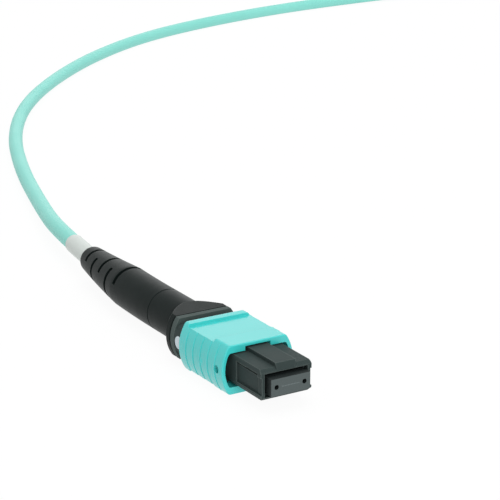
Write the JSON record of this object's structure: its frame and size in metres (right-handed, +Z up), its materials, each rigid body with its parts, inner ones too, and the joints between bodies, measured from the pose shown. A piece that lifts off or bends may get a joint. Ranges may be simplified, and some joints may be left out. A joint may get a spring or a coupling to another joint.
{
  "type": "multi-fibre push-on connector",
  "caption": "Rectangular multi-fibre push-on connector with a sprung pull sleeve, floating ferrule and slit strain-relief boot on a round fibre lead.",
  "frame": {"origin": "on the surface it lies on, under the middle of the connector without its lead", "axes": "+X out of the nose, +Y the left-hand side, +Z up, key side up"},
  "size_m": [0.4048, 0.2608, 0.0075],
  "materials": {
    "housing_black": "moulded, satin",
    "sleeve_aqua": "moulded, satin",
    "spring_steel": "drawn wire",
    "ferrule_grey": "glass-filled, polished end",
    "fibre_glass": "polished",
    "boot_silicone": "soft",
    "keeper_black": "moulded",
    "ribbon_acrylate": "coated ribbon",
    "aramid": "yarn",
    "crimp_metal": "nickel plated",
    "jacket_aqua": "extruded, satin",
    "boot_rubber": "moulded, satin",
    "dot_white": "printed dot",
    "label_white": "film, blank",
    "tie_fabric": "hook and loop strap"
  },
  "bodies": {
    "housing": {"inner_housing": "housing_black", "coupling_spring_left": "spring_steel", "coupling_spring_right": "spring_steel", "main_spring": "spring_steel", "spring_push": "housing_black", "fibre_ribbon": "ribbon_acrylate", "aramid_yarn": "aramid", "crimp_ring": "crimp_metal", "jacket_end": "jacket_aqua", "strain_boot": "boot_rubber", "polarity_dot": "dot_white", "cable_label": "label_white", "cable": "jacket_aqua", "cable_coil": "jacket_aqua", "coil_tie": "tie_fabric", "cable_tail": "jacket_aqua", "far_housing": "housing_black", "far_spring_push": "housing_black", "far_boot": "boot_rubber", "far_dot": "dot_white", "far_label": "label_white"},
    "sleeve": {"coupling_sleeve": "sleeve_aqua"},
    "ferrule": {"ferrule": "ferrule_grey", "fibre_array": "fibre_glass", "ferrule_boot": "boot_silicone", "pin_keeper": "keeper_black"},
    "far_sleeve": {"far_sleeve": "sleeve_aqua"},
    "far_ferrule": {"far_ferrule": "ferrule_grey"}
  },
  "joints": [
    {"name": "sleeve_slide", "type": "slide", "parent": "housing", "child": "sleeve", "axis": [-1, 0, 0], "range_m": [0, 0.0022], "stiffness_N_per_m": 1500, "deforming": ["coupling_spring_left", "coupling_spring_right"]},
    {"name": "ferrule_float", "type": "slide", "parent": "housing", "child": "ferrule", "axis": [-1, 0, 0], "range_m": [0, 0.0008], "stiffness_N_per_m": 2500, "deforming": ["main_spring", "fibre_ribbon"]},
    {"name": "far_sleeve_slide", "type": "slide", "parent": "housing", "child": "far_sleeve", "axis": [1, 0, 0], "range_m": [0, 0.0022], "stiffness_N_per_m": 1500},
    {"name": "far_ferrule_float", "type": "slide", "parent": "housing", "child": "far_ferrule", "axis": [1, 0, 0], "range_m": [0, 0.0008], "stiffness_N_per_m": 2500}
  ]
}
